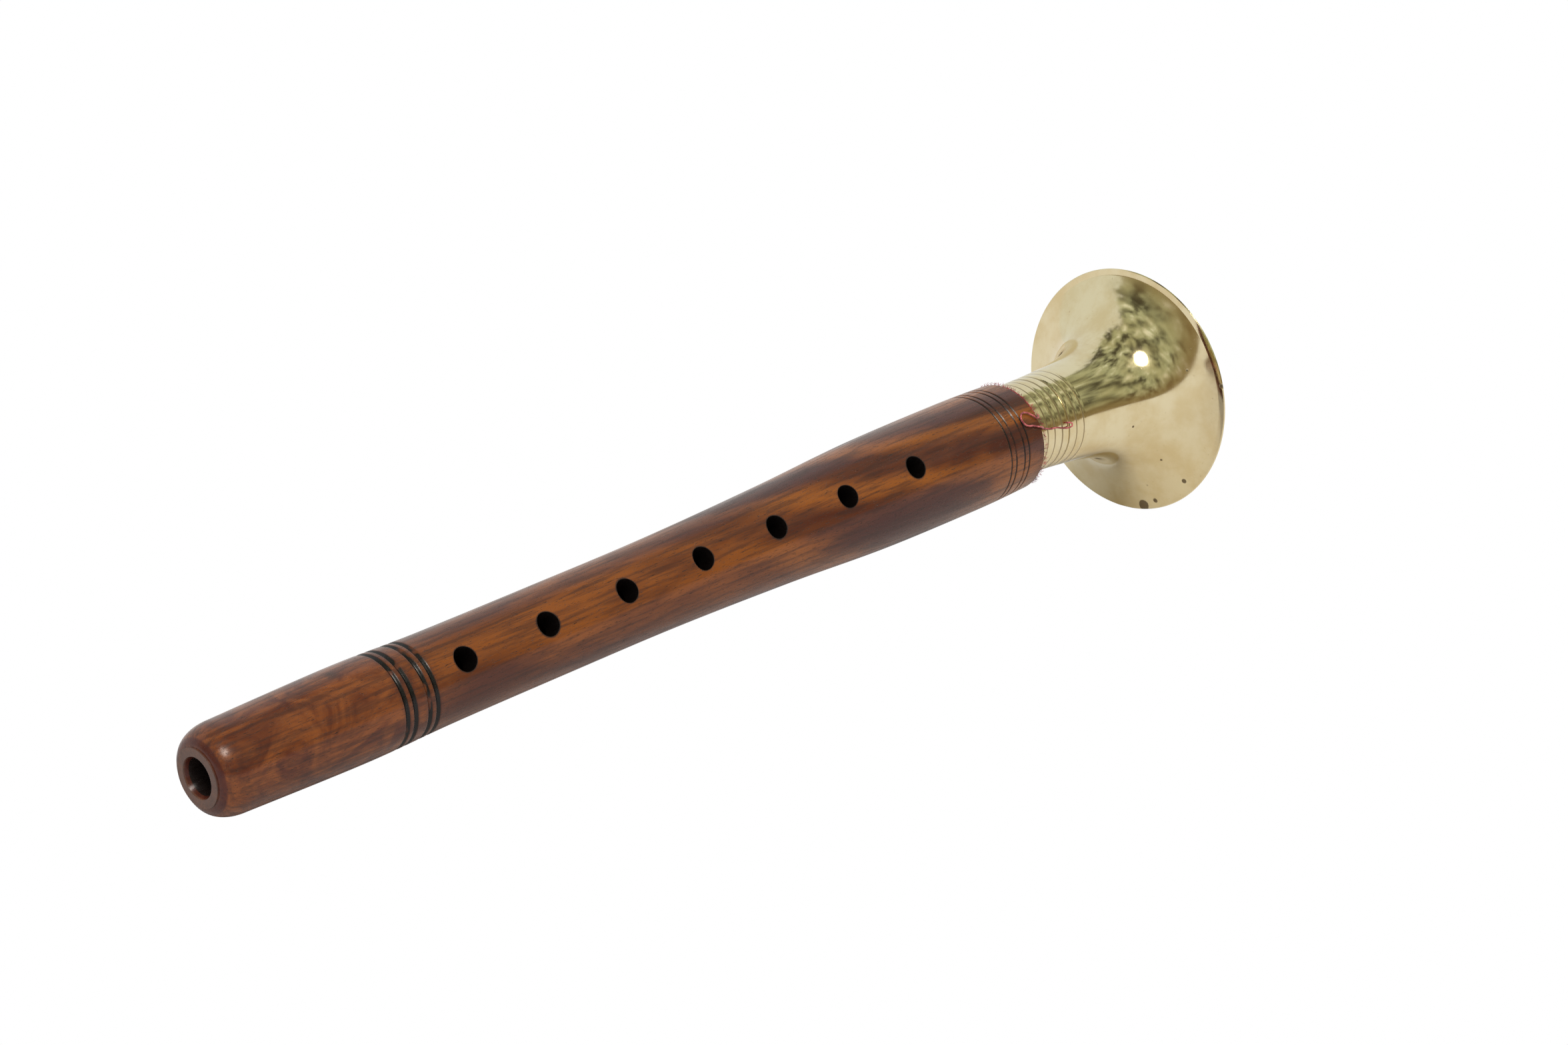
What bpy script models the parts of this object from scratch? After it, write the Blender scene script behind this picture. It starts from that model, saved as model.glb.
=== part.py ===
"""A small shehnai, lying as it is put down: one turned hardwood body with seven finger holes and an
empty reed socket, a spun brass bell pushed over the body's tenon, and the red cotton thread that packs
the joint.

Stations are distances along the body from its blowing end. Angles round the body are counted from
straight up towards the side of the finger holes. The bell has stations of its own, from its wood end to
its rim.
"""

import math

import bmesh
import bpy
from mathutils import Matrix, Vector

# Body outline: the span from each turned diameter to the next, from the blowing end to the shoulder
HEAD_SPAN = 0.046
WAIST_SPAN = 0.028
SHANK_SPAN = 0.041
GRIP_SPAN = 0.040
SWELL_SPAN = 0.045
RISE_SPAN = 0.040
BULGE_SPAN = 0.041
CLOSE_SPAN = 0.022
HEAD_RADIUS = 0.01286
WAIST_RADIUS = 0.01244
SHANK_RADIUS = 0.01258
GRIP_RADIUS = 0.01296
SWELL_RADIUS = 0.01445
RISE_RADIUS = 0.01645
BULGE_RADIUS = 0.01705
SHOULDER_RADIUS = 0.0167
SHOULDER_ROUND = 0.0005

# Blowing end
NOSE_LENGTH = 0.0085
NOSE_RADIUS = 0.0120
FACE_RADIUS = 0.0078
FACE_STEP = 0.0004
SOCKET_RADIUS = 0.0044
COUNTERSINK_RADIUS = 0.0055
COUNTERSINK_DEPTH = 0.0022

# Burnt rings: two pairs of wide grooves near the head and two pairs of fine lines near the bell
HEAD_GROOVE_STATION = 0.0547
HEAD_GROOVE_STEP = 0.0027
HEAD_GROOVE_PAIR_STEP = 0.0074
HEAD_GROOVE_WIDTH = 0.0016
HEAD_GROOVE_DEPTH = 0.0006
LINE_FROM_SHOULDER = 0.0075
LINE_STEP = 0.0023
LINE_PAIR_STEP = 0.0063
LINE_WIDTH = 0.0008
LINE_DEPTH = 0.0003

# Bore, finger holes and tenon
BORE_END_RADIUS = 0.0080
TENON_RADIUS = 0.0104
TENON_LENGTH = 0.0195
HOLE_COUNT = 7
FIRST_HOLE_STATION = 0.0767
HOLE_PITCH = 0.0284
HOLE_RADIUS = 0.0034
HOLE_ANGLE = math.radians(55.6)

# Bell, which sits a little crooked on its packing: it droops, and swings to the finger side
SEAT_GAP = 0.0019
BELL_LENGTH = 0.0593
NECK_RADIUS = 0.0132
RIM_RADIUS = 0.0393
RIM_FACE_WIDTH = 0.0016
FLARE_DEPTH = 0.0135
FLARE_POWER = 2.0
BELL_WALL = 0.0012
NECK_LINE_COUNT = 6
FIRST_NECK_LINE = 0.0043
NECK_LINE_STEP = 0.00325
NECK_LINE_WIDTH = 0.0009
NECK_LINE_DEPTH = 0.00025
LEAN_PIVOT_FROM_SHOULDER = 0.027
BELL_DROOP = math.radians(1.45)
BELL_SWING = math.radians(1.9)

# Packing thread: a spiral squeezed between shoulder and bell, then a helix along the tenon
THREAD_DIAMETER = 0.0007
THREAD_SEAT = 0.0002
SHOULDER_CLEARANCE = 0.0003
SPIRAL_TURNS = 3
TENON_TURNS = 10
TENON_PITCH = 0.0017
BEAD_RADIUS = 0.0156
BEAD_RISE = 0.0007
BEAD_HALF_ARC = math.radians(75)
BEAD_ANGLE = math.radians(0)
BEAD_END_ANGLE = math.radians(56)
POINTS_PER_TURN = 24

# Loose end of the thread: station in mm, angle in degrees and height over the body's axis in mm
LOOSE_DIAMETER = 0.0005
LOOSE_POINT_STEP = 0.0012
LOOSE_ROUTE = [
    (303.7, 54.5, 16.65),
    (303.2, 56.8, 17.15),
    (302.2, 58.7, 17.35),
    (301.0, 54.0, 17.35),
    (299.3, 49.2, 17.40),
    (297.8, 47.4, 17.45),
    (296.2, 48.8, 17.50),
    (295.3, 53.6, 17.50),
    (295.7, 58.4, 17.50),
    (296.8, 61.6, 17.50),
    (298.9, 63.2, 17.45),
    (300.8, 65.7, 17.40),
    (302.4, 67.6, 17.30),
    (303.6, 69.0, 16.70),
    (304.6, 70.0, 15.50),
    (306.0, 71.0, 14.50),
    (308.6, 74.6, 14.30),
    (310.2, 76.2, 14.35),
    (312.0, 76.6, 14.45),
    (314.2, 79.6, 14.60),
    (316.6, 82.2, 14.80),
    (318.6, 82.2, 15.00),
    (319.3, 80.2, 15.05),
    (318.3, 77.2, 14.95),
    (316.3, 75.2, 14.80),
]

# Fineness of the faceted solids
BODY_SIDES = 40
BELL_SIDES = 56
HOLE_SIDES = 20
STEPS_PER_SPAN = 3
NOSE_STEPS = 5
FLARE_STEPS = 16
SMOOTH_ANGLE = math.radians(30)

BODY_SPANS = [HEAD_SPAN, WAIST_SPAN, SHANK_SPAN, GRIP_SPAN, SWELL_SPAN, RISE_SPAN, BULGE_SPAN, CLOSE_SPAN]
BODY_RADII = [
    HEAD_RADIUS,
    WAIST_RADIUS,
    SHANK_RADIUS,
    GRIP_RADIUS,
    SWELL_RADIUS,
    RISE_RADIUS,
    BULGE_RADIUS,
    SHOULDER_RADIUS,
]
BODY_LENGTH = sum(BODY_SPANS)
LEAN_PIVOT_STATION = BODY_LENGTH + LEAN_PIVOT_FROM_SHOULDER
BELL_END_STATION = BODY_LENGTH + SEAT_GAP


def clear_scene():
    for item in list(bpy.data.objects):
        bpy.data.objects.remove(item, do_unlink=True)


def finish(name, colour, roughness, metallic=0.0):
    """A plain finish in the colour that the piece shows."""
    material = bpy.data.materials.new(name)
    material.use_nodes = True
    shader = material.node_tree.nodes["Principled BSDF"]
    shader.inputs["Base Color"].default_value = (*colour, 1.0)
    shader.inputs["Roughness"].default_value = roughness
    shader.inputs["Metallic"].default_value = metallic
    return material


def through(knots, steps):
    """Points along a smooth curve through the knots, with the knots among them."""
    padded = [knots[0], *knots, knots[-1]]
    points = []
    for before, start, end, after in zip(padded, padded[1:], padded[2:], padded[3:]):
        for step in range(steps):
            t = step / steps
            points.append(
                tuple(
                    0.5
                    * (
                        2 * b
                        + (c - a) * t
                        + (2 * a - 5 * b + 4 * c - d) * t**2
                        + (3 * b - a - 3 * c + d) * t**3
                    )
                    for a, b, c, d in zip(before, start, end, after)
                )
            )
    return [*points, knots[-1]]


def cut_rings(points, centres, width, depth):
    """Cuts a V-shaped ring into an outline at each centre."""
    kept = [
        (station, radius)
        for station, radius in points
        if all(abs(station - centre) > width for centre in centres)
    ]
    for centre in centres:
        for offset, cut in ((-width / 2, 0.0), (0.0, depth), (width / 2, 0.0)):
            kept.append((centre + offset, radius_at(points, centre + offset) - cut))
    return sorted(kept)


def radius_at(points, station):
    for (start, first), (end, last) in zip(points, points[1:]):
        if start <= station <= end:
            return first + (last - first) * (station - start) / (end - start)
    raise ValueError("the station is off the outline")


def pairs(first, step, pair_step):
    return [first, first + step, first + pair_step, first + pair_step + step]


def body_outline():
    """The body's outer side, from the face of the blowing end to the shoulder."""
    knots = [(NOSE_LENGTH, NOSE_RADIUS)]
    station = 0.0
    for span, radius in zip(BODY_SPANS, BODY_RADII):
        station += span
        knots.append((station, radius))
    barrel = through(knots[:-1], STEPS_PER_SPAN)[:-1] + [knots[-2]]
    close = through(knots[-3:], STEPS_PER_SPAN)[STEPS_PER_SPAN + 1 :]
    outer = barrel + close
    outer = cut_rings(
        outer,
        pairs(HEAD_GROOVE_STATION, HEAD_GROOVE_STEP, HEAD_GROOVE_PAIR_STEP),
        HEAD_GROOVE_WIDTH,
        HEAD_GROOVE_DEPTH,
    )
    outer = cut_rings(
        outer,
        [BODY_LENGTH - back for back in pairs(LINE_FROM_SHOULDER, LINE_STEP, LINE_PAIR_STEP)],
        LINE_WIDTH,
        LINE_DEPTH,
    )
    nose = []
    for step in range(NOSE_STEPS):
        turn = math.pi / 2 * step / NOSE_STEPS
        along = FACE_STEP + (NOSE_LENGTH - FACE_STEP) * (1 - math.cos(turn))
        nose.append((along, FACE_RADIUS + (NOSE_RADIUS - FACE_RADIUS) * math.sin(turn)))
    outer[-1] = (BODY_LENGTH - SHOULDER_ROUND, SHOULDER_RADIUS)
    shoulder = [(BODY_LENGTH, SHOULDER_RADIUS - SHOULDER_ROUND)]
    return [(0.0, FACE_RADIUS), *nose, *outer, *shoulder]


def bell_radius(station):
    """The bell's outer radius: a neck that opens into the flare as the rim comes near."""
    to_rim = BELL_LENGTH - station
    return NECK_RADIUS + (RIM_RADIUS - NECK_RADIUS) * (FLARE_DEPTH / (FLARE_DEPTH + to_rim)) ** FLARE_POWER


def bell_outline():
    """The bell's section: out along the neck and flare, and back inside it."""
    stations = []
    for step in range(FLARE_STEPS + 1):
        share = step / FLARE_STEPS
        stations.append(BELL_LENGTH * (1 - (1 - share) ** 2))
    outer = [(station, bell_radius(station)) for station in stations]
    inner = []
    for (start, first), (end, last) in zip(outer, outer[1:]):
        slope = math.hypot(end - start, last - first)
        inward = (last - first) / slope, -(end - start) / slope
        middle = (start + end) / 2, (first + last) / 2
        inner.append((middle[0] + BELL_WALL * inward[0], middle[1] + BELL_WALL * inward[1]))
    inner = [point for point in inner if point[0] < BELL_LENGTH - BELL_WALL / 2]
    neck_lines = [FIRST_NECK_LINE + NECK_LINE_STEP * count for count in range(NECK_LINE_COUNT)]
    outer = cut_rings(outer, neck_lines, NECK_LINE_WIDTH, NECK_LINE_DEPTH)
    mouth = (0.0, bell_radius(0.0) - BELL_WALL)
    rim_inside = (BELL_LENGTH, RIM_RADIUS - RIM_FACE_WIDTH)
    return [*outer, rim_inside, *reversed(inner), mouth]


def turned(name, outline, sides, material, parent):
    """A closed turned body along +X, with a flat between two corners underneath."""
    mesh = bmesh.new()
    rings = []
    for station, radius in outline:
        ring = []
        for side in range(sides):
            angle = 2 * math.pi * (side + 0.5) / sides
            ring.append(mesh.verts.new((station, -radius * math.sin(angle), -radius * math.cos(angle))))
        rings.append(ring)
    for ring, following in zip(rings, rings[1:] + rings[:1]):
        for side in range(sides):
            after = (side + 1) % sides
            mesh.faces.new((ring[side], ring[after], following[after], following[side]))
    bmesh.ops.recalc_face_normals(mesh, faces=mesh.faces)
    return place(name, mesh, material, parent)


def place(name, mesh, material, parent):
    data = bpy.data.meshes.new(name)
    mesh.to_mesh(data)
    mesh.free()
    data.shade_smooth()
    data.set_sharp_from_angle(angle=SMOOTH_ANGLE)
    data.materials.append(material)
    item = bpy.data.objects.new(name, data)
    bpy.context.collection.objects.link(item)
    item.parent = parent
    return item


def thread(name, points, diameter, bevel_resolution, material, parent):
    """A thread as a round tube with filled ends along the points."""
    curve = bpy.data.curves.new(name, "CURVE")
    curve.dimensions = "3D"
    curve.bevel_depth = diameter / 2
    curve.bevel_resolution = bevel_resolution
    curve.use_fill_caps = True
    spline = curve.splines.new("POLY")
    spline.points.add(len(points) - 1)
    for knot, point in zip(spline.points, points):
        knot.co = (*point, 1.0)
    curve.materials.append(material)
    item = bpy.data.objects.new(name, curve)
    bpy.context.collection.objects.link(item)
    item.parent = parent
    return item


def around(station, angle, radius):
    """A point beside the body's axis."""
    return Vector((station, -radius * math.sin(angle), radius * math.cos(angle)))


def body_section():
    """The body's whole section: outer side, tenon and the bore back to the reed socket."""
    tenon_end = BODY_LENGTH + TENON_LENGTH
    return [
        *body_outline(),
        (BODY_LENGTH, TENON_RADIUS),
        (tenon_end, TENON_RADIUS),
        (tenon_end, BORE_END_RADIUS),
        (COUNTERSINK_DEPTH, SOCKET_RADIUS),
        (0.0, COUNTERSINK_RADIUS),
    ]


def build_body(material, parent):
    body = turned("wooden_body", body_section(), BODY_SIDES, material, parent)
    cutter = bmesh.new()
    reach = BULGE_RADIUS * 1.5
    for count in range(HOLE_COUNT):
        station = FIRST_HOLE_STATION + HOLE_PITCH * count
        middle = Matrix.Translation(around(station, HOLE_ANGLE, reach / 2))
        bmesh.ops.create_cone(
            cutter,
            cap_ends=True,
            segments=HOLE_SIDES,
            radius1=HOLE_RADIUS,
            radius2=HOLE_RADIUS,
            depth=reach,
            matrix=middle @ Matrix.Rotation(HOLE_ANGLE, 4, "X"),
        )
    drills = place("finger_hole_cutters", cutter, material, parent)
    drills.hide_render = True
    drills.display_type = "WIRE"
    holes = body.modifiers.new("finger_holes", "BOOLEAN")
    holes.operation = "DIFFERENCE"
    holes.object = drills
    return body


def packing_points():
    """The packing thread from its outer end at the shoulder's edge inwards, then along the tenon."""
    thread_radius = THREAD_DIAMETER / 2
    tenon_lie = TENON_RADIUS + THREAD_SEAT + thread_radius
    gap_station = BODY_LENGTH + SHOULDER_CLEARANCE + thread_radius
    points = []
    for step in range(SPIRAL_TURNS * POINTS_PER_TURN):
        turns = step / POINTS_PER_TURN
        angle = BEAD_END_ANGLE - 2 * math.pi * turns
        radius = BEAD_RADIUS + (tenon_lie - BEAD_RADIUS) * turns / SPIRAL_TURNS
        off_bead = abs((angle - BEAD_ANGLE + math.pi) % (2 * math.pi) - math.pi)
        if turns < 1 and off_bead < BEAD_HALF_ARC:
            radius += BEAD_RISE * math.cos(math.pi / 2 * off_bead / BEAD_HALF_ARC) ** 2
        points.append(around(gap_station, angle, radius))
    for step in range(TENON_TURNS * POINTS_PER_TURN + 1):
        turns = step / POINTS_PER_TURN
        points.append(
            around(gap_station + TENON_PITCH * turns, BEAD_END_ANGLE - 2 * math.pi * turns, tenon_lie)
        )
    return points


def least_gap(points, diameter):
    """The least gap of a wound thread to itself, between points more than half a turn apart."""
    apart = POINTS_PER_TURN // 2
    nearest = min(
        (points[first] - points[second]).length
        for first in range(len(points))
        for second in range(first + apart, len(points))
    )
    return nearest - diameter


def loose_points():
    """The loose thread's points, read at even steps from a smooth curve through its route."""
    knots = [
        around(station / 1000, math.radians(angle), height / 1000)
        for station, angle, height in LOOSE_ROUTE
    ]
    fine = [Vector(point) for point in through([tuple(knot) for knot in knots], 12)]
    points = [fine[0]]
    travelled = 0.0
    for start, end in zip(fine, fine[1:]):
        travelled += (end - start).length
        if travelled >= LOOSE_POINT_STEP:
            points.append(end)
            travelled = 0.0
    return points


def resting_tilt():
    """The tilt at which the head's nose and the bell's rim both touch the surface below."""
    head = body_outline()
    body_flat = math.cos(math.pi / BODY_SIDES)
    rim_flat = RIM_RADIUS * math.cos(math.pi / BELL_SIDES)
    beyond_pivot = BELL_LENGTH - (LEAN_PIVOT_STATION - BELL_END_STATION)
    low, high = 0.0, math.radians(15)
    for _ in range(40):
        tilt = (low + high) / 2
        head_low = min(
            station * math.sin(tilt) - radius * body_flat * math.cos(tilt) for station, radius in head
        )
        rim_low = (
            LEAN_PIVOT_STATION * math.sin(tilt)
            + beyond_pivot * math.sin(tilt - BELL_DROOP)
            - rim_flat * math.cos(tilt - BELL_DROOP)
        )
        if rim_low < head_low:
            low = tilt
        else:
            high = tilt
    return low


def corners(items):
    """The lowest and highest corner of the pieces, where they stand."""
    bpy.context.view_layer.update()
    graph = bpy.context.evaluated_depsgraph_get()
    points = []
    for item in items:
        seen = item.evaluated_get(graph)
        mesh = seen.to_mesh()
        points += [seen.matrix_world @ vertex.co for vertex in mesh.vertices]
        seen.to_mesh_clear()
    low = Vector(min(point[axis] for point in points) for axis in range(3))
    high = Vector(max(point[axis] for point in points) for axis in range(3))
    return low, high


def empty(name, parent=None):
    item = bpy.data.objects.new(name, None)
    bpy.context.collection.objects.link(item)
    item.parent = parent
    return item


def main():
    clear_scene()
    wood = finish("oiled_hardwood", (0.22, 0.075, 0.025), 0.35)
    brass = finish("brass", (0.72, 0.58, 0.28), 0.25, metallic=1.0)
    cotton = finish("red_cotton", (0.45, 0.02, 0.04), 0.9)

    lie = empty("instrument_axis")
    lie.rotation_euler = (0.0, -resting_tilt(), 0.0)
    body = build_body(wood, lie)

    winding = packing_points()
    thread("packing_thread", winding, THREAD_DIAMETER, 1, cotton, lie)
    print(f"packing thread: least gap to itself {least_gap(winding, THREAD_DIAMETER) * 1000:.2f} mm")
    thread("loose_thread", loose_points(), LOOSE_DIAMETER, 2, cotton, lie)

    bell_axis = empty("bell_axis", lie)
    bell_axis.location = (LEAN_PIVOT_STATION, 0.0, 0.0)
    bell_axis.rotation_euler = (0.0, BELL_DROOP, -BELL_SWING)
    bell = turned("brass_bell", bell_outline(), BELL_SIDES, brass, bell_axis)
    bell.location = (BELL_END_STATION - LEAN_PIVOT_STATION, 0.0, 0.0)

    low, high = corners([body, bell])
    lie.location = (-(low.x + high.x) / 2, -(low.y + high.y) / 2, -low.z)


main()
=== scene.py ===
"""Looks for the shehnai: a turned body of oiled hardwood, a spun brass bell and red packing thread."""

import math
import random

import bmesh
import bpy
from mathutils import Matrix, Vector


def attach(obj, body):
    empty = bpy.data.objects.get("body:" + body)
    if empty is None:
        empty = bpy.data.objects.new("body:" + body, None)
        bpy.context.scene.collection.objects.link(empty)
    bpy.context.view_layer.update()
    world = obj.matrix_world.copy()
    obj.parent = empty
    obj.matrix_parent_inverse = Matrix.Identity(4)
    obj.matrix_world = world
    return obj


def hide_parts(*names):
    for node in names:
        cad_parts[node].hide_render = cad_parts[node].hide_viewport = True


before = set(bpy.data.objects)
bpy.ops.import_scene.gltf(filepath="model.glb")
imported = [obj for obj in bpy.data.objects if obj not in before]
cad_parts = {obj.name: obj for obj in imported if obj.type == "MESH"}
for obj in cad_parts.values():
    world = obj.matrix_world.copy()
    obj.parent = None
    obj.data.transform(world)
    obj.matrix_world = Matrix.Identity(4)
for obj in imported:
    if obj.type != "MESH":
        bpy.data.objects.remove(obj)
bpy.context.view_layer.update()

# Where the instrument's own axes lie
TILT = math.radians(4.534166)
NOSE = Vector((-0.182482, 0.001134, 0.011261))
BODY_LENGTH = 0.303
BELL_DROOP = math.radians(1.45)
BELL_SWING = math.radians(1.9)
PIVOT = BODY_LENGTH + 0.027
BELL_END = BODY_LENGTH + 0.0019

# Wooden body
NOSE_SPAN = 0.0081
NOSE_ROUND = 0.0042
FACE_RADIUS = 0.0078
FACE_STEP = 0.0004
SOCKET_RADIUS = 0.0044
COUNTERSINK_RADIUS = 0.0055
COUNTERSINK_DEPTH = 0.0022
SHOULDER_RADIUS = 0.0167
SHOULDER_ROUND = 0.0005
TENON_RADIUS = 0.0104
TENON_LENGTH = 0.0195
BORE_END_RADIUS = 0.0080
HOLE_ANGLE = math.radians(55.6)
FIRST_HOLE = 0.0767
HOLE_PITCH = 0.0284
HOLE_COUNT = 7
HOLE_RADIUS = 0.0034
HOLE_REACH = 0.026
GROOVE_HALF_WIDTH = 0.0008
GROOVE_DEPTH = 0.0006
LINE_HALF_WIDTH = 0.0004
LINE_DEPTH = 0.0003
BODY_SIDES = 160

# Bell
BELL_LENGTH = 0.0593
NECK_RADIUS = 0.0132
RIM_SPREAD = 0.0261
FLARE_DEPTH = 0.0135
BELL_WALL = 0.0012
NECK_LINES = [0.0043 + 0.00325 * ring for ring in range(6)]
NECK_LINE_HALF_WIDTH = 0.00045
NECK_LINE_DEPTH = 0.00025
BELL_STEPS = 150
BELL_INSIDE_STEPS = 60
BELL_SIDES = 240

# Packing thread, laid up from two plies, its loose end and its fuzz
THREAD_RADIUS = 0.00035
LIE_RADIUS = TENON_RADIUS + 0.0002 + THREAD_RADIUS
GAP_STATION = BODY_LENGTH + 0.0003 + THREAD_RADIUS
END_ANGLE = math.radians(56)
BEAD_RADIUS = 0.0156
BEAD_RISE = 0.0007
BEAD_HALF_ARC = math.radians(75)
SPIRAL_TURNS = 3
ALL_TURNS = 13
TENON_PITCH = 0.0017
PLY_OFFSET = 0.00016
PLY_RADIUS = 0.00019
PLY_SIDES = 6
TWISTS_PER_TURN = 34
STEPS_PER_TURN = 90
LOOSE_DIAMETER = 0.0005
LOOSE_POINT_STEP = 0.0012
HAIR_COUNT = 420

LIE = Matrix.Translation(NOSE) @ Matrix.Rotation(-TILT, 4, "Y")
BELL_TURN = Matrix.Rotation(-BELL_SWING, 4, "Z") @ Matrix.Rotation(BELL_DROOP, 4, "Y")
BELL_PIVOT = LIE @ Matrix.Translation((PIVOT, 0, 0)) @ BELL_TURN
BELL_LIE = BELL_PIVOT @ Matrix.Translation((BELL_END - PIVOT, 0, 0))

HEAD_GROOVES = [0.0547, 0.0574, 0.0621, 0.0648]
FINE_LINES = [BODY_LENGTH - back for back in (0.0075, 0.0098, 0.0138, 0.0161)]
OUTLINE = [
    (0.0085, 0.0120),
    (0.046, 0.01286),
    (0.074, 0.01244),
    (0.115, 0.01258),
    (0.155, 0.01296),
    (0.200, 0.01445),
    (0.240, 0.01645),
    (0.281, 0.01705),
    (0.303, 0.0167),
]

scene = bpy.context.scene
scene.view_settings.view_transform = "Standard"

# Camera
camera = bpy.data.objects.new("camera", bpy.data.cameras.new("camera"))
scene.collection.objects.link(camera)
camera.location = (-0.57347, -0.55359, 0.27501)
camera.rotation_euler = (math.radians(73.2215), 0.0, math.radians(-47.0225))
camera.data.sensor_width = 36.0
camera.data.lens = 68.878
camera.data.clip_start = 0.01
camera.data.dof.use_dof = False
scene.camera = camera
scene.render.resolution_x = 2352
scene.render.resolution_y = 1568


# Node helpers
def opaque(value):
    """A colour with its alpha; anything else as it is."""
    return (*value, 1.0) if isinstance(value, tuple) and len(value) == 3 else value


class Nodes:
    """Short calls to build a node tree; a value or a socket can feed any input."""

    def __init__(self, tree):
        self.tree = tree
        tree.nodes.clear()

    def new(self, kind, **settings):
        node = self.tree.nodes.new(kind)
        for key, value in settings.items():
            setattr(node, key, value)
        return node

    def feed(self, socket, value):
        if isinstance(value, bpy.types.NodeSocket):
            self.tree.links.new(value, socket)
        else:
            socket.default_value = value

    def math(self, operation, *values):
        node = self.new("ShaderNodeMath", operation=operation)
        for socket, value in zip(node.inputs, values):
            self.feed(socket, value)
        return node.outputs[0]

    def plus(self, first, second):
        return self.math("ADD", first, second)

    def minus(self, first, second):
        return self.math("SUBTRACT", first, second)

    def times(self, first, second):
        return self.math("MULTIPLY", first, second)

    def distance(self, first, second):
        """The distance that two steps at right angles to each other reach."""
        return self.math("SQRT", self.plus(self.times(first, first), self.times(second, second)))

    def vector(self, operation, *values):
        node = self.new("ShaderNodeVectorMath", operation=operation)
        for socket, value in zip(node.inputs, values):
            self.feed(socket, value)
        return node.outputs["Value"] if operation in ("LENGTH", "DOT_PRODUCT") else node.outputs[0]

    def ramp(self, value, low, high, out_low=0.0, out_high=1.0):
        node = self.new("ShaderNodeMapRange", interpolation_type="SMOOTHSTEP")
        keys = ("Value", "From Min", "From Max", "To Min", "To Max")
        for key, item in zip(keys, (value, low, high, out_low, out_high)):
            self.feed(node.inputs[key], item)
        return node.outputs[0]

    def mix(self, share, first, second):
        node = self.new("ShaderNodeMix", data_type="RGBA")
        self.feed(node.inputs[0], share)
        self.feed(node.inputs[6], opaque(first))
        self.feed(node.inputs[7], opaque(second))
        return node.outputs[2]

    def noise(self, vector, scale, detail=3.0, rough=0.5, distortion=0.0):
        node = self.new("ShaderNodeTexNoise")
        keys = ("Vector", "Scale", "Detail", "Roughness", "Distortion")
        for key, item in zip(keys, (vector, scale, detail, rough, distortion)):
            self.feed(node.inputs[key], item)
        return node.outputs["Fac"]

    def stretched(self, vector, scale):
        node = self.new("ShaderNodeMapping")
        self.feed(node.inputs["Vector"], vector)
        self.feed(node.inputs["Scale"], scale)
        return node.outputs[0]

    def split(self, vector):
        node = self.new("ShaderNodeSeparateXYZ")
        self.feed(node.inputs[0], vector)
        return node.outputs

    def own_axes(self, matrix):
        """The shaded point along and across the piece's own axis."""
        place = self.new("ShaderNodeTexCoord").outputs["Object"]
        node = self.new("ShaderNodeMapping", vector_type="TEXTURE")
        self.feed(node.inputs["Vector"], place)
        self.feed(node.inputs["Location"], tuple(matrix.translation))
        self.feed(node.inputs["Rotation"], tuple(matrix.to_euler()))
        return node.outputs[0]

    def band(self, value, centre, half, soft):
        """One inside a band round the centre, falling off over soft."""
        off = self.math("ABSOLUTE", self.minus(value, centre))
        return self.ramp(off, half, half + soft, 1.0, 0.0)

    def spot(self, x, y, centre, radius, soft):
        across = self.minus(x, centre[0])
        up = self.minus(y, centre[1])
        return self.ramp(self.distance(across, up), radius, radius + soft, 1.0, 0.0)

    def most(self, *values):
        most = values[0]
        for value in values[1:]:
            most = self.math("MAXIMUM", most, value)
        return most

    def bump(self, height, distance, strength=1.0, normal=None):
        node = self.new("ShaderNodeBump")
        self.feed(node.inputs["Height"], height)
        self.feed(node.inputs["Distance"], distance)
        self.feed(node.inputs["Strength"], strength)
        if normal is not None:
            self.feed(node.inputs["Normal"], normal)
        return node.outputs[0]


def surface(name, paint):
    material = bpy.data.materials.new(name)
    material.use_nodes = True
    nodes = Nodes(material.node_tree)
    shader = nodes.new("ShaderNodeBsdfPrincipled")
    output = nodes.new("ShaderNodeOutputMaterial")
    material.node_tree.links.new(shader.outputs[0], output.inputs[0])
    for key, value in paint(nodes).items():
        nodes.feed(shader.inputs[key], opaque(value))
    return material


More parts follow.
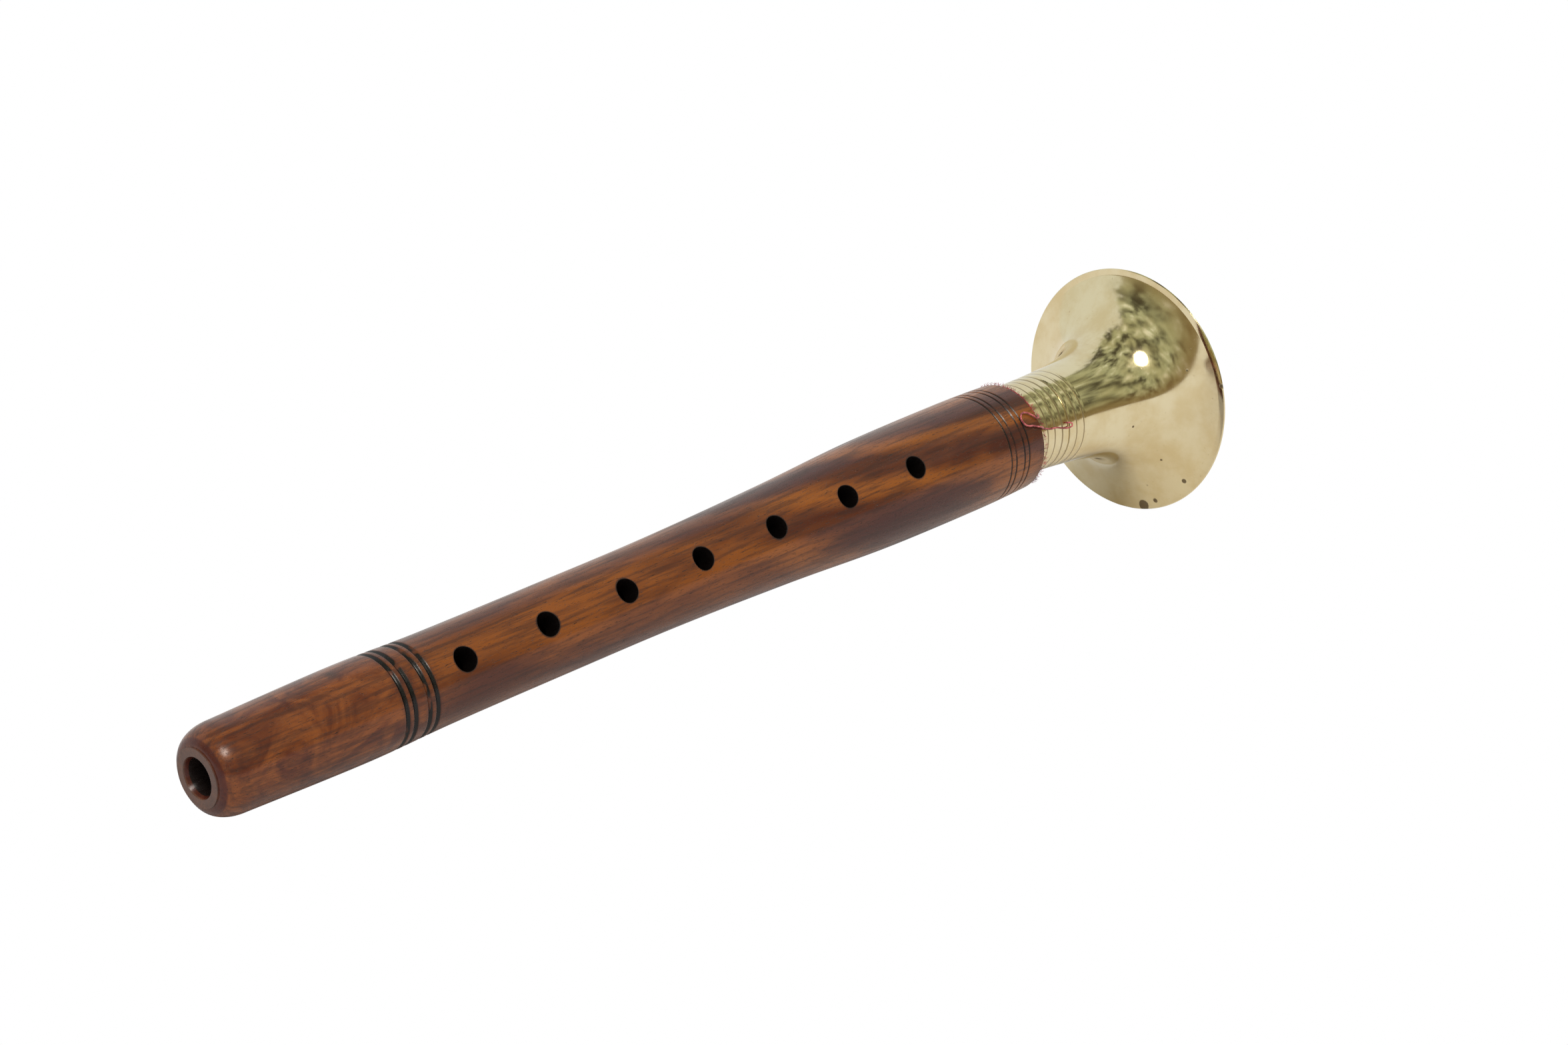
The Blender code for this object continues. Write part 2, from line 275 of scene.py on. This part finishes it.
# Materials
def wood_paint(n):
    place = n.own_axes(LIE)
    x, y, z = n.split(place)
    # Broad figure, burl at the head, diagonal bands in the bulge
    broad = n.noise(n.stretched(place, (14.0, 70.0, 70.0)), 1.0, 4.0, 0.55, 0.6)
    burl = n.noise(n.stretched(place, (60.0, 90.0, 90.0)), 1.0, 4.0, 0.55, 2.4)
    wave = n.new("ShaderNodeTexWave", wave_type="BANDS", bands_direction="DIAGONAL")
    n.feed(wave.inputs["Vector"], n.stretched(place, (9.0, 34.0, 26.0)))
    n.feed(wave.inputs["Scale"], 1.0)
    n.feed(wave.inputs["Distortion"], 3.2)
    n.feed(wave.inputs["Detail"], 3.0)
    n.feed(wave.inputs["Detail Scale"], 1.4)
    streaks = n.noise(n.stretched(place, (45.0, 900.0, 900.0)), 1.0, 3.0, 0.6)
    pores = n.noise(n.stretched(place, (420.0, 5200.0, 5200.0)), 1.0, 2.0, 0.6)
    head = n.ramp(x, 0.052, 0.075, 1.0, 0.0)
    bulge = n.ramp(x, 0.150, 0.215)
    colour = n.mix(n.ramp(broad, 0.36, 0.66), (0.070, 0.016, 0.006), (0.215, 0.060, 0.009))
    burl_colour = n.mix(n.ramp(burl, 0.30, 0.72), (0.078, 0.016, 0.006), (0.215, 0.060, 0.012))
    colour = n.mix(head, colour, burl_colour)
    bands = n.times(bulge, n.ramp(wave.outputs["Fac"], 0.25, 0.85))
    colour = n.mix(n.times(bands, 0.7), colour, (0.046, 0.009, 0.007))
    glow = n.times(bulge, n.ramp(wave.outputs["Fac"], 0.35, 0.0))
    colour = n.mix(n.times(glow, 0.55), colour, (0.290, 0.088, 0.012))
    colour = n.mix(n.times(n.ramp(streaks, 0.42, 0.66), 0.55), colour, (0.032, 0.010, 0.006))
    pore = n.ramp(pores, 0.60, 0.70)
    colour = n.mix(n.times(pore, 0.8), colour, (0.014, 0.005, 0.004))
    # Knot at the head
    girth = n.times(n.math("ARCTAN2", n.times(y, -1.0), z), 0.0125)
    knot = n.spot(x, girth, (0.0413, 0.0015), 0.0007, 0.0018)
    colour = n.mix(n.times(knot, 0.7), colour, (0.030, 0.010, 0.006))
    # Burnt rings, with a brown scorch beside them
    deep = n.most(*[n.band(x, centre, 0.00055, 0.00035) for centre in HEAD_GROOVES])
    scorch = n.most(*[n.band(x, centre, 0.0007, 0.0012) for centre in HEAD_GROOVES])
    fine = n.most(*[n.band(x, centre, 0.00018, 0.00028) for centre in FINE_LINES])
    gaps = n.ramp(n.noise(n.stretched(place, (300.0, 160.0, 160.0)), 1.0, 2.0), 0.34, 0.42)
    colour = n.mix(n.times(scorch, 0.45), colour, (0.060, 0.018, 0.010))
    colour = n.mix(n.times(deep, gaps), colour, (0.004, 0.003, 0.003))
    colour = n.mix(n.times(fine, n.ramp(gaps, 0.0, 1.0, 0.35, 0.95)), colour, (0.010, 0.006, 0.005))
    # Burnt finger holes
    from_first = n.plus(n.minus(x, FIRST_HOLE), HOLE_PITCH / 2)
    along = n.minus(n.math("FLOORED_MODULO", from_first, HOLE_PITCH), HOLE_PITCH / 2)
    side = n.vector("DOT_PRODUCT", place, (0.0, -math.cos(HOLE_ANGLE), -math.sin(HOLE_ANGLE)))
    out = n.vector("DOT_PRODUCT", place, (0.0, -math.sin(HOLE_ANGLE), math.cos(HOLE_ANGLE)))
    off = n.distance(along, side)
    among = n.times(n.math("GREATER_THAN", x, 0.06), n.math("LESS_THAN", x, 0.262))
    holed = n.times(n.math("GREATER_THAN", out, 0.0), among)
    ragged = n.plus(off, n.times(n.minus(burl, 0.5), 0.0009))
    burnt = n.times(holed, n.ramp(ragged, HOLE_RADIUS + 0.00005, HOLE_RADIUS + 0.0005, 1.0, 0.0))
    inside = n.times(holed, n.math("LESS_THAN", off, HOLE_RADIUS + 0.00006))
    colour = n.mix(n.times(burnt, 0.8), colour, (0.012, 0.005, 0.004))
    colour = n.mix(inside, colour, (0.0035, 0.0015, 0.0012))
    # Blowing end: painted shade for a cove line, a painted sky sheen greying the face, painted shade in the
    # bore and in the gap at the shoulder
    painted_cove_shade = n.band(x, 0.0009, 0.0003, 0.0005)
    colour = n.mix(n.times(painted_cove_shade, 0.8), colour, (0.050, 0.008, 0.006))
    # Painted sky sheen: the flat face at the blowing end is greyed as if lit by the sky
    painted_face_sheen = n.ramp(x, 0.0002, 0.0004, 1.0, 0.0)
    colour = n.mix(n.times(painted_face_sheen, 0.7), colour, (0.085, 0.045, 0.032))
    # Painted shade: the inside of the bore is darkened
    radius = n.distance(y, z)
    painted_bore_shade = n.times(n.ramp(radius, 0.0052, 0.0056, 1.0, 0.0), n.math("GREATER_THAN", x, 0.0012))
    colour = n.mix(painted_bore_shade, colour, (0.010, 0.006, 0.005))
    # Painted shade: the shoulder's end and the tenon are darkened where the gap under the bell shades them
    painted_gap_shade = n.ramp(x, BODY_LENGTH - 0.0003, BODY_LENGTH)
    colour = n.mix(n.times(painted_gap_shade, 0.85), colour, (0.020, 0.010, 0.008))
    rough = n.ramp(streaks, 0.3, 0.7, 0.20, 0.36)
    rough = n.plus(rough, n.times(n.most(burnt, inside), 0.25))
    height = n.minus(n.times(streaks, 0.25), n.times(pore, 0.9))
    soft_edge = n.new("ShaderNodeBevel", samples=4)
    n.feed(soft_edge.inputs["Radius"], 0.0003)
    return {
        "Base Color": colour,
        "Roughness": rough,
        "Normal": n.bump(height, 0.00008, 0.6, soft_edge.outputs[0]),
        "Coat Weight": 0.14,
        "Coat Roughness": 0.16,
        "Specular IOR Level": 0.28,
    }


def brass_paint(n):
    place = n.own_axes(BELL_LIE)
    x = n.split(place)[0]
    cloud = n.noise(place, 90.0, 4.0, 0.6)
    speck = n.noise(place, 900.0, 3.0, 0.6)
    hair = n.noise(n.stretched(place, (300.0, 2600.0, 1500.0)), 1.0, 2.0)
    colour = n.mix(n.ramp(cloud, 0.35, 0.7), (0.80, 0.70, 0.46), (0.72, 0.59, 0.34))
    dull = n.ramp(speck, 0.66, 0.76)
    colour = n.mix(n.times(dull, 0.35), colour, (0.33, 0.20, 0.08))
    # Verdigris along the wood end; the neck rings darker brown
    green = n.times(n.ramp(x, 0.0006, 0.0016, 1.0, 0.0), n.ramp(cloud, 0.30, 0.50))
    colour = n.mix(n.times(green, 0.75), colour, (0.16, 0.30, 0.20))
    rings = n.most(*[n.band(x, line, 0.00012, 0.0003) for line in NECK_LINES])
    colour = n.mix(n.times(rings, 0.65), colour, (0.20, 0.130, 0.060))
    # Pits and dark marks near the rim on the camera side
    marks = []
    for along, across, up, size in (
        (0.0581, -0.0245, -0.0254, 0.0006),
        (0.0590, -0.0079, -0.0371, 0.0017),
        (0.0586, -0.0127, -0.0345, 0.0006),
        (0.0592, -0.0380, 0.0082, 0.0005),
        (0.0537, -0.0188, -0.0184, 0.0002),
        (0.0413, -0.0174, -0.0046, 0.0002),
        (0.0560, -0.0270, 0.0120, 0.0002),
        (0.0520, -0.0220, -0.0040, 0.0002),
        (0.0570, -0.0110, -0.0290, 0.0003),
    ):
        away = n.vector("LENGTH", n.vector("SUBTRACT", place, (along, across, up)))
        marks.append(n.ramp(away, size, size + 0.0004, 1.0, 0.0))
    marks = n.most(*marks)
    colour = n.mix(n.times(marks, 0.8), colour, (0.06, 0.030, 0.012))
    rough = n.ramp(cloud, 0.3, 0.7, 0.07, 0.14)
    rough = n.plus(rough, n.times(n.most(green, rings, marks, n.times(dull, 0.4)), 0.35))
    height = n.minus(n.times(hair, 0.12), n.plus(marks, n.times(dull, 0.15)))
    return {
        "Base Color": colour,
        "Metallic": n.ramp(green, 0.2, 0.9, 1.0, 0.3),
        "Roughness": rough,
        "Normal": n.bump(height, 0.00004, 0.5),
    }


def cotton_paint(colour_low, colour_high):
    def paint(n):
        place = n.new("ShaderNodeTexCoord").outputs["Object"]
        strands = n.noise(place, 3200.0, 2.0, 0.6)
        shade = n.noise(place, 500.0, 2.0)
        share = n.ramp(n.plus(strands, n.minus(shade, 0.5)), 0.35, 0.7)
        colour = n.mix(share, colour_low, colour_high)
        return {
            "Base Color": colour,
            "Roughness": 0.9,
            "Normal": n.bump(strands, 0.0001, 0.8),
            "Sheen Weight": 0.5,
            "Sheen Roughness": 0.4,
        }

    return paint


WOOD = surface("oiled_hardwood_grain", wood_paint)
BRASS = surface("tarnished_brass", brass_paint)
COTTON = surface("red_cotton_twist", cotton_paint((0.16, 0.004, 0.012), (0.52, 0.020, 0.045)))
PINK = surface("faded_cotton_twist", cotton_paint((0.20, 0.015, 0.020), (0.62, 0.140, 0.130)))


# Shapes
def through(knots, steps):
    padded = [knots[0], *knots, knots[-1]]
    points = []
    for a, b, c, d in zip(padded, padded[1:], padded[2:], padded[3:]):
        for step in range(steps):
            t = step / steps
            points.append(
                tuple(
                    0.5
                    * (
                        2 * q
                        + (r - p) * t
                        + (2 * p - 5 * q + 4 * r - s) * t**2
                        + (3 * q - p - 3 * r + s) * t**3
                    )
                    for p, q, r, s in zip(a, b, c, d)
                )
            )
    return [*points, tuple(knots[-1])]


def dip(station, centre, half_width, depth):
    """The depth of a V-shaped groove at a station."""
    off = abs(station - centre) / half_width
    return depth * (1 - off) if off < 1 else 0.0


def turned(name, outline, sides, matrix, body, material, node):
    mesh = bmesh.new()
    rings = []
    for station, radius in outline:
        ring = []
        for side in range(sides):
            angle = 2 * math.pi * (side + 0.5) / sides
            spot = Vector((station, -radius * math.sin(angle), -radius * math.cos(angle)))
            ring.append(mesh.verts.new(matrix @ spot))
        rings.append(ring)
    for ring, following in zip(rings, rings[1:] + rings[:1]):
        for side in range(sides):
            after = (side + 1) % sides
            mesh.faces.new((ring[side], ring[after], following[after], following[side]))
    bmesh.ops.recalc_face_normals(mesh, faces=mesh.faces)
    data = bpy.data.meshes.new(name)
    mesh.to_mesh(data)
    mesh.free()
    piece = bpy.data.objects.new(name, data)
    scene.collection.objects.link(piece)
    data.materials.append(material)
    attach(piece, body)
    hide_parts(node)
    return piece


def wood_outline():
    barrel = through(OUTLINE, 24)
    fine = []
    for start, end in zip(barrel, barrel[1:]):
        near = min(abs(start[0] - centre) for centre in HEAD_GROOVES + FINE_LINES) < 0.003
        pieces = max(1, math.ceil((end[0] - start[0]) / (0.0002 if near else 0.0016)))
        for step in range(pieces):
            share = step / pieces
            fine.append((start[0] + (end[0] - start[0]) * share, start[1] + (end[1] - start[1]) * share))
    shaped = []
    for station, radius in fine:
        if station > BODY_LENGTH - 0.0006:
            continue
        radius -= sum(dip(station, centre, GROOVE_HALF_WIDTH, GROOVE_DEPTH) for centre in HEAD_GROOVES)
        radius -= sum(dip(station, centre, LINE_HALF_WIDTH, LINE_DEPTH) for centre in FINE_LINES)
        shaped.append((station, radius))
    nose = []
    for step in range(16):
        turn = math.pi / 2 * step / 16
        along = FACE_STEP + NOSE_SPAN * (1 - math.cos(turn))
        nose.append((along, FACE_RADIUS + NOSE_ROUND * math.sin(turn)))
    edge = []
    for step in range(5):
        turn = math.pi / 2 * step / 4
        along = BODY_LENGTH - SHOULDER_ROUND * (1 - math.sin(turn))
        edge.append((along, SHOULDER_RADIUS - SHOULDER_ROUND * (1 - math.cos(turn))))
    tenon = [
        (BODY_LENGTH, TENON_RADIUS),
        (BODY_LENGTH + TENON_LENGTH, TENON_RADIUS),
        (BODY_LENGTH + TENON_LENGTH, BORE_END_RADIUS),
        (COUNTERSINK_DEPTH, SOCKET_RADIUS),
        (0.0, COUNTERSINK_RADIUS),
    ]
    return [(0.0, FACE_RADIUS), *nose, *shaped, *edge, *tenon]


def bell_radius(station):
    return NECK_RADIUS + RIM_SPREAD * (FLARE_DEPTH / (FLARE_DEPTH + BELL_LENGTH - station)) ** 2


def bell_outline():
    stations = [BELL_LENGTH * (1 - (1 - step / BELL_STEPS) ** 2) for step in range(BELL_STEPS)]
    outer = []
    for station in stations:
        grooves = sum(dip(station, line, NECK_LINE_HALF_WIDTH, NECK_LINE_DEPTH) for line in NECK_LINES)
        outer.append((station, bell_radius(station) - grooves))
    inner = []
    for step in range(BELL_INSIDE_STEPS):
        station = BELL_LENGTH * (1 - (1 - step / BELL_INSIDE_STEPS) ** 2)
        slope = (bell_radius(station + 1e-5) - bell_radius(station - 1e-5)) / 2e-5
        long = math.hypot(1, slope)
        inner.append((station + BELL_WALL * slope / long, bell_radius(station) - BELL_WALL / long))
    inner = [point for point in inner if 0 < point[0] < BELL_LENGTH - 0.0004]
    rim = [
        (BELL_LENGTH - 0.0004, bell_radius(BELL_LENGTH) - 0.0002),
        (BELL_LENGTH - 0.0001, 0.03935),
        (BELL_LENGTH, 0.0391),
        (BELL_LENGTH, 0.0379),
        (BELL_LENGTH - 0.0002, 0.0376),
    ]
    outer = [point for point in outer if point[0] < BELL_LENGTH - 0.0005]
    return [*outer, *rim, *reversed(inner), (0.0, bell_radius(0.0) - BELL_WALL)]


def around(station, angle, radius):
    return LIE @ Vector((station, -radius * math.sin(angle), radius * math.cos(angle)))


# The loose end of the thread: station in mm, angle in degrees, height over the body's axis in mm
LOOSE_ROUTE = [
    (303.7, 54.5, 16.65),
    (303.2, 56.8, 17.15),
    (302.2, 58.7, 17.35),
    (301.0, 54.0, 17.35),
    (299.3, 49.2, 17.40),
    (297.8, 47.4, 17.45),
    (296.2, 48.8, 17.50),
    (295.3, 53.6, 17.50),
    (295.7, 58.4, 17.50),
    (296.8, 61.6, 17.50),
    (298.9, 63.2, 17.45),
    (300.8, 65.7, 17.40),
    (302.4, 67.6, 17.30),
    (303.6, 69.0, 16.70),
    (304.6, 70.0, 15.50),
    (306.0, 71.0, 14.50),
    (308.6, 74.6, 14.30),
    (310.2, 76.2, 14.35),
    (312.0, 76.6, 14.45),
    (314.2, 79.6, 14.60),
    (316.6, 82.2, 14.80),
    (318.6, 82.2, 15.00),
    (319.3, 80.2, 15.05),
    (318.3, 77.2, 14.95),
    (316.3, 75.2, 14.80),
]


def strand(name, points, diameter, material):
    curve = bpy.data.curves.new(name, "CURVE")
    curve.dimensions = "3D"
    curve.bevel_depth = diameter / 2
    curve.bevel_resolution = 3
    curve.use_fill_caps = True
    spline = curve.splines.new("POLY")
    spline.points.add(len(points) - 1)
    for knot, point in zip(spline.points, points):
        knot.co = (*point, 1.0)
    curve.materials.append(material)
    piece = bpy.data.objects.new(name, curve)
    scene.collection.objects.link(piece)
    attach(piece, "chanter")
    return piece


loose_knots = [tuple(around(s / 1000, math.radians(a), h / 1000)) for s, a, h in LOOSE_ROUTE]
loose_fine = [Vector(point) for point in through(loose_knots, 12)]
loose = [loose_fine[0]]
travelled = 0.0
for start, end in zip(loose_fine, loose_fine[1:]):
    travelled += (end - start).length
    if travelled >= LOOSE_POINT_STEP:
        loose.append(end)
        travelled = 0.0
loose_thread = strand("loose_thread_end", loose, LOOSE_DIAMETER, PINK)
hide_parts("loose_thread")

# Wooden body
wood = turned("turned_wood", wood_outline(), BODY_SIDES, LIE, "chanter", WOOD, "wooden_body")
drill = bmesh.new()
for count in range(HOLE_COUNT):
    lies = (
        LIE
        @ Matrix.Translation((FIRST_HOLE + HOLE_PITCH * count, 0, 0))
        @ Matrix.Rotation(HOLE_ANGLE, 4, "X")
        @ Matrix.Translation((0, 0, HOLE_REACH / 2))
    )
    bmesh.ops.create_cone(
        drill,
        cap_ends=True,
        segments=64,
        radius1=HOLE_RADIUS,
        radius2=HOLE_RADIUS,
        depth=HOLE_REACH,
        matrix=lies,
    )
drill_data = bpy.data.meshes.new("drills")
drill.to_mesh(drill_data)
drill.free()
drills = bpy.data.objects.new("drills", drill_data)
scene.collection.objects.link(drills)
holes = wood.modifiers.new("finger_holes", "BOOLEAN")
holes.operation = "DIFFERENCE"
holes.object = drills
bpy.context.view_layer.update()
cut = bpy.data.meshes.new_from_object(wood.evaluated_get(bpy.context.evaluated_depsgraph_get()))
wood.modifiers.clear()
wood.data = cut
bpy.data.objects.remove(drills, do_unlink=True)
cut.materials.clear()
cut.materials.append(WOOD)
cut.shade_smooth()
cut.set_sharp_from_angle(angle=math.radians(28))

# Bell
bell = turned("spun_bell", bell_outline(), BELL_SIDES, BELL_LIE, "bell", BRASS, "brass_bell")
bell.data.shade_smooth()
bell.data.set_sharp_from_angle(angle=math.radians(35))


# Packing thread, wound
def packing_place(turns):
    """A spiral in the gap at the shoulder, then a helix along the tenon."""
    angle = END_ANGLE - 2 * math.pi * turns
    if turns < SPIRAL_TURNS:
        station = GAP_STATION
        radius = BEAD_RADIUS + (LIE_RADIUS - BEAD_RADIUS) * turns / SPIRAL_TURNS
        off = abs((angle + math.pi) % (2 * math.pi) - math.pi)
        if turns < 1 and off < BEAD_HALF_ARC:
            radius += BEAD_RISE * math.cos(math.pi / 2 * off / BEAD_HALF_ARC) ** 2
    else:
        station = GAP_STATION + TENON_PITCH * (turns - SPIRAL_TURNS)
        radius = LIE_RADIUS
    return Vector((station, -radius * math.sin(angle), radius * math.cos(angle)))


packing = bmesh.new()
for ply in range(2):
    previous = None
    steps = ALL_TURNS * STEPS_PER_TURN
    for step in range(steps + 1):
        turns = ALL_TURNS * step / steps
        here = packing_place(turns)
        ahead = packing_place(min(ALL_TURNS, turns + 0.003)) - packing_place(max(0, turns - 0.003))
        ahead.normalize()
        across = Vector((1, 0, 0)).cross(ahead).normalized()
        other = ahead.cross(across)
        lay = 2 * math.pi * turns * TWISTS_PER_TURN + math.pi * ply
        centre = here + PLY_OFFSET * (math.cos(lay) * across + math.sin(lay) * other)
        ring = []
        for side in range(PLY_SIDES):
            turn = 2 * math.pi * side / PLY_SIDES
            spot = centre + PLY_RADIUS * (math.cos(turn) * across + math.sin(turn) * other)
            ring.append(packing.verts.new(LIE @ spot))
        if previous:
            for side in range(PLY_SIDES):
                after = (side + 1) % PLY_SIDES
                packing.faces.new((previous[side], previous[after], ring[after], ring[side]))
        else:
            packing.faces.new(ring)
        previous = ring
    packing.faces.new(list(reversed(previous)))
bmesh.ops.recalc_face_normals(packing, faces=packing.faces)
packing_data = bpy.data.meshes.new("packing_twist")
packing.to_mesh(packing_data)
packing.free()
packing_data.materials.append(COTTON)
packing_data.shade_smooth()
packing_piece = bpy.data.objects.new("packing_twist", packing_data)
scene.collection.objects.link(packing_piece)
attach(packing_piece, "chanter")
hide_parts("packing_thread")

# Fuzz on the bead that shows at the shoulder
rng = random.Random(7)
fuzz = bpy.data.curves.new("thread_fuzz", "CURVE")
fuzz.dimensions = "3D"
fuzz.bevel_depth = 0.00003
fuzz.bevel_resolution = 1
fuzz.materials.append(COTTON)
for _ in range(HAIR_COUNT):
    angle = math.radians(rng.uniform(-30, 140))
    foot = 0.0157 + 0.0008 * rng.random()
    length = rng.uniform(0.0003, 0.0010)
    sway = rng.uniform(-0.05, 0.05)
    drift = rng.uniform(-0.0003, 0.0008)
    spline = fuzz.splines.new("POLY")
    spline.points.add(4)
    for index, knot in enumerate(spline.points):
        share = index / 4
        station = GAP_STATION + drift * share**2
        spot = around(station, angle + sway * share, foot + length * math.sin(share * 1.5))
        knot.co = (*spot, 1.0)
fuzz_piece = bpy.data.objects.new("thread_fuzz", fuzz)
scene.collection.objects.link(fuzz_piece)
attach(fuzz_piece, "chanter")

# Floor: white to the camera, a pale cream table to everything else
floor_mesh = bpy.data.meshes.new("floor")
floor_mesh.from_pydata([(-6, -6, 0), (6, -6, 0), (6, 6, 0), (-6, 6, 0)], [], [(0, 1, 2, 3)])
floor = bpy.data.objects.new("floor", floor_mesh)
scene.collection.objects.link(floor)
floor_material = bpy.data.materials.new("table")
floor_material.use_nodes = True
n = Nodes(floor_material.node_tree)
path = n.new("ShaderNodeLightPath")
cloth = n.new("ShaderNodeBsdfDiffuse")
n.feed(cloth.inputs["Color"], (0.66, 0.64, 0.60, 1.0))
white = n.new("ShaderNodeEmission")
n.feed(white.inputs["Strength"], 1.0)
glow = n.new("ShaderNodeEmission")
n.feed(glow.inputs["Color"], (0.80, 0.72, 0.62, 1.0))
n.feed(glow.inputs["Strength"], 0.10)
lit = n.new("ShaderNodeAddShader")
n.feed(lit.inputs[0], cloth.outputs[0])
n.feed(lit.inputs[1], glow.outputs[0])
choice = n.new("ShaderNodeMixShader")
n.feed(choice.inputs[0], path.outputs["Is Camera Ray"])
n.feed(choice.inputs[1], lit.outputs[0])
n.feed(choice.inputs[2], white.outputs[0])
out = n.new("ShaderNodeOutputMaterial")
n.feed(out.inputs[0], choice.outputs[0])
floor_mesh.materials.append(floor_material)

# Sky: white to the camera, a garden with a pale wall on the far side to reflections, soft light to the rest
world = bpy.data.worlds.new("garden")
scene.world = world
world.use_nodes = True
n = Nodes(world.node_tree)
way = n.new("ShaderNodeTexCoord").outputs["Generated"]
wz = n.split(way)[2]
leaves = n.noise(way, 5.0, 6.0, 0.65, 0.4)
garden = n.mix(n.ramp(leaves, 0.38, 0.56), (0.070, 0.062, 0.040), (0.50, 0.53, 0.36))
garden = n.mix(n.ramp(leaves, 0.56, 0.68), garden, (1.0, 1.02, 0.95))
garden = n.mix(n.ramp(wz, 0.0, 0.40, 0.85, 0.0), garden, (0.26, 0.18, 0.08))
level = n.math("SQRT", n.minus(1.0, n.times(wz, wz)))
far = n.math("DIVIDE", n.vector("DOT_PRODUCT", way, (0.26, 0.966, 0.0)), n.plus(level, 0.02))
jag = n.times(n.minus(n.noise(way, 16.0, 5.0, 0.7), 0.5), 0.5)
height = n.plus(wz, jag)
wall = n.times(n.ramp(n.plus(far, jag), 0.44, 0.50), n.ramp(height, 0.80, 0.86, 1.0, 0.0))
garden = n.mix(wall, garden, (0.80, 0.82, 0.80))
path = n.new("ShaderNodeLightPath")
shown = n.mix(path.outputs["Is Glossy Ray"], (0.80, 0.84, 0.92), garden)
shown = n.mix(path.outputs["Is Camera Ray"], shown, (1.0, 1.0, 1.0))
background = n.new("ShaderNodeBackground")
n.feed(background.inputs["Color"], shown)
n.feed(background.inputs["Strength"], 1.0)
out = n.new("ShaderNodeOutputWorld")
n.feed(out.inputs[0], background.outputs[0])

# Sun, softened by the leaves
sun = bpy.data.objects.new("sun", bpy.data.lights.new("sun", "SUN"))
sun.data.energy = 1.5
sun.data.angle = math.radians(20)
sun.data.color = (1.0, 0.95, 0.88)
sun.rotation_euler = (math.radians(28), math.radians(-22), 0.0)
scene.collection.objects.link(sun)
